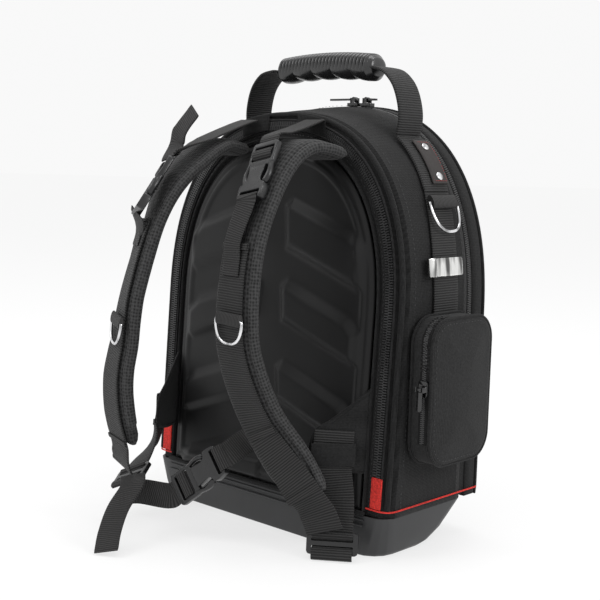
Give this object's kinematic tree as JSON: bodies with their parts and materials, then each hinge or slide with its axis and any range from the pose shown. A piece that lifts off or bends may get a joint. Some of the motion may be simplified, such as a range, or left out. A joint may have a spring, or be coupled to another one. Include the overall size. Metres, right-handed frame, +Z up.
{
  "type": "tool backpack",
  "caption": "Arched tool backpack on a moulded base tray, with padded shoulder straps, a moulded back panel, a carry handle and a zipped side pocket.",
  "frame": {"origin": "middle of the underside of the base tray", "axes": "+Z up, -Y towards the harness, +Y towards the front lid, +X to the right as seen from the harness side"},
  "size_m": [0.3656, 0.3348, 0.484],
  "materials": {
    "body_fabric": "coarse woven polyester, matt",
    "webbing": "ribbed woven webbing, matt",
    "moulded_foam": "moulded foam with a faint pebble",
    "tray_plastic": "moulded plastic, satin",
    "buckle_plastic": "moulded plastic, satin",
    "grip": "ribbed soft moulding, satin",
    "red_fabric": "woven tape, matt",
    "leather": "smooth, semi-matt",
    "chromed_metal": "polished",
    "zip": "coil zip and coated sliders, satin"
  },
  "bodies": {
    "bag": {"base_tray": "tray_plastic", "base_piping": "red_fabric", "body_gusset": "body_fabric", "edge_piping": "body_fabric", "back_zip": "zip", "zip_tab_left": "red_fabric", "zip_tab_right": "red_fabric", "front_cover": "body_fabric", "front_zip": "zip", "back_panel": "moulded_foam", "shoulder_strap_left": "body_fabric", "strap_webbing_left": "webbing", "shoulder_strap_right": "body_fabric", "strap_webbing_right": "webbing", "side_webbing_left": "webbing", "handle_webbing_left": "webbing", "leather_patch_left": "leather", "rivet_left_lower": "chromed_metal", "rivet_left_upper": "chromed_metal", "side_webbing_right": "webbing", "handle_webbing_right": "webbing", "leather_patch_right": "leather", "rivet_right_lower": "chromed_metal", "rivet_right_upper": "chromed_metal", "handle_grip": "grip", "side_ring_loop": "webbing", "strap_ring_tab_left": "webbing", "strap_ring_tab_right": "webbing", "tape_clip": "chromed_metal", "side_pocket": "body_fabric", "pocket_slider": "zip", "top_a_slider": "zip", "top_b_slider": "zip", "lifter_socket_left": "buckle_plastic", "lifter_plug_left": "buckle_plastic", "lifter_webbing_left": "webbing", "lifter_socket_right": "buckle_plastic", "lifter_plug_right": "buckle_plastic", "lifter_webbing_right": "webbing", "lifter_tail_left": "webbing", "strap_patch_left": "body_fabric", "strap_patch_right": "body_fabric", "wing_left": "body_fabric", "wing_webbing_left": "webbing", "ladder_lock_left": "buckle_plastic", "wing_right": "body_fabric", "wing_webbing_right": "webbing", "ladder_lock_right": "buckle_plastic", "keeper_right": "body_fabric", "waist_socket": "buckle_plastic", "waist_plug": "buckle_plastic", "waist_webbing_right": "webbing", "waist_webbing_left": "webbing", "waist_tail": "webbing"},
    "side_ring_part": {"side_ring": "chromed_metal"},
    "strap_ring_left_part": {"strap_ring_left": "chromed_metal"},
    "strap_ring_right_part": {"strap_ring_right": "chromed_metal"},
    "pocket_pull_part": {"pocket_pull": "buckle_plastic"},
    "top_a_pull_part": {"top_a_pull": "buckle_plastic"},
    "top_b_pull_part": {"top_b_pull": "buckle_plastic"}
  },
  "joints": [
    {"name": "side_ring_swing", "type": "hinge", "parent": "bag", "child": "side_ring_part", "pos_m": [0.1533, 0.01422, 0.33653], "axis": [0, -1, 0], "range_deg": [0, 110]},
    {"name": "strap_ring_left_swing", "type": "hinge", "parent": "bag", "child": "strap_ring_left_part", "pos_m": [-0.06197, -0.20913, 0.21555], "axis": [-0.9003, 0.4295, 0.0706], "range_deg": [0, 140]},
    {"name": "strap_ring_right_swing", "type": "hinge", "parent": "bag", "child": "strap_ring_right_part", "pos_m": [0.05976, -0.17692, 0.22753], "axis": [-0.9943, 0.1047, 0.0182], "range_deg": [0, 140]},
    {"name": "pocket_pull_swing", "type": "hinge", "parent": "bag", "child": "pocket_pull_part", "pos_m": [0.18525, -0.05255, 0.166], "axis": [-1, 0, 0], "range_deg": [0, 120]},
    {"name": "top_a_pull_swing", "type": "hinge", "parent": "bag", "child": "top_a_pull_part", "pos_m": [0.008, 0.0492, 0.43755], "axis": [0, 1, 0], "range_deg": [0, 110]},
    {"name": "top_b_pull_swing", "type": "hinge", "parent": "bag", "child": "top_b_pull_part", "pos_m": [0.025, 0.0492, 0.4371], "axis": [0, -1, 0], "range_deg": [0, 110]}
  ]
}
